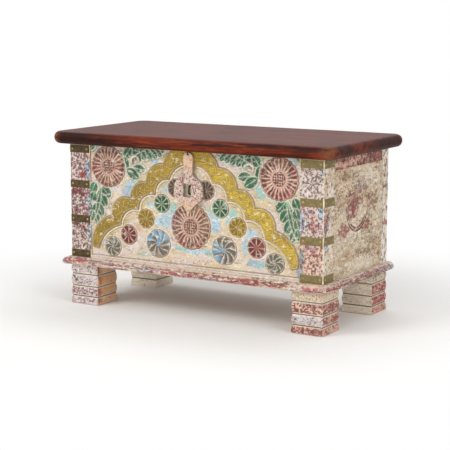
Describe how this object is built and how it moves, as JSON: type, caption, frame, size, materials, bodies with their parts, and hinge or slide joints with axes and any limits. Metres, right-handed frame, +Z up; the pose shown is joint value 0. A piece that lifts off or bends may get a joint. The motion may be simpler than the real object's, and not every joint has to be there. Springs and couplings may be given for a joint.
{
  "type": "carved wooden trunk",
  "caption": "Low wooden trunk on block feet with a relief-carved painted front, a hinged slab lid, a hanging hasp and brass corner straps.",
  "frame": {"origin": "on the floor under the middle of the whole trunk in plan, which is the middle of the lid; the lid hangs further over the front than the back", "axes": "+Z up, front towards -Y, +X to the right of someone facing the front"},
  "size_m": [0.81, 0.41, 0.45],
  "materials": {
    "painted_wood": "worn whitewash and paint over carved hardwood, matte",
    "plain_wood": "plain oiled hardwood, satin",
    "dark_lid_wood": "dark red-brown stain, satin",
    "strap_brass": "aged brass with olive patina",
    "nail_brass": "aged brass, domed heads rubbed brighter",
    "hinge_iron": "blackened iron, dull",
    "staple_iron": "dark iron wire, dull",
    "painted_hasp": "worn whitewash over metal, flecked",
    "screw_steel": "dull steel"
  },
  "bodies": {
    "case": {"back_panel": "plain_wood", "base_rail_back": "painted_wood", "base_rail_front": "painted_wood", "base_rail_left": "painted_wood", "base_rail_right": "painted_wood", "base_screws": "screw_steel", "floor_board": "plain_wood", "foot_dowels": "plain_wood", "foot_front_left": "painted_wood", "foot_front_right": "painted_wood", "foot_rear_left": "painted_wood", "foot_rear_right": "painted_wood", "front_panel": "painted_wood", "front_post_left": "painted_wood", "front_post_right": "painted_wood", "hinge_case_leaf_left": "hinge_iron", "hinge_case_leaf_right": "hinge_iron", "hinge_pin_left": "hinge_iron", "hinge_pin_right": "hinge_iron", "hinge_screws_case": "screw_steel", "lock_staple": "staple_iron", "rear_post_left": "painted_wood", "rear_post_right": "painted_wood", "side_panel_left": "painted_wood", "side_panel_right": "painted_wood", "side_top_rail_left": "painted_wood", "side_top_rail_right": "painted_wood", "strap_left_1": "strap_brass", "strap_left_2": "strap_brass", "strap_left_3": "strap_brass", "strap_left_4": "strap_brass", "strap_nails_left": "nail_brass", "strap_nails_right": "nail_brass", "strap_right_1": "strap_brass", "strap_right_2": "strap_brass", "strap_right_3": "strap_brass", "strap_right_4": "strap_brass"},
    "lid": {"batten_screws": "screw_steel", "hasp_eye": "staple_iron", "hinge_lid_leaf_left": "hinge_iron", "hinge_lid_leaf_right": "hinge_iron", "hinge_screws_lid": "screw_steel", "lid_batten_left": "plain_wood", "lid_batten_right": "plain_wood", "lid_slab": "dark_lid_wood"},
    "hasp": {"hasp": "painted_hasp"}
  },
  "joints": [
    {"name": "lid_hinge", "type": "hinge", "parent": "case", "child": "lid", "pos_m": [0, 0.1884, 0.4141], "axis": [-1, 0, 0], "range_deg": [0, 100]},
    {"name": "hasp_swing", "type": "hinge", "parent": "lid", "child": "hasp", "pos_m": [0, -0.176, 0.4146], "axis": [-1, 0, 0], "range_deg": [0, 85]}
  ]
}
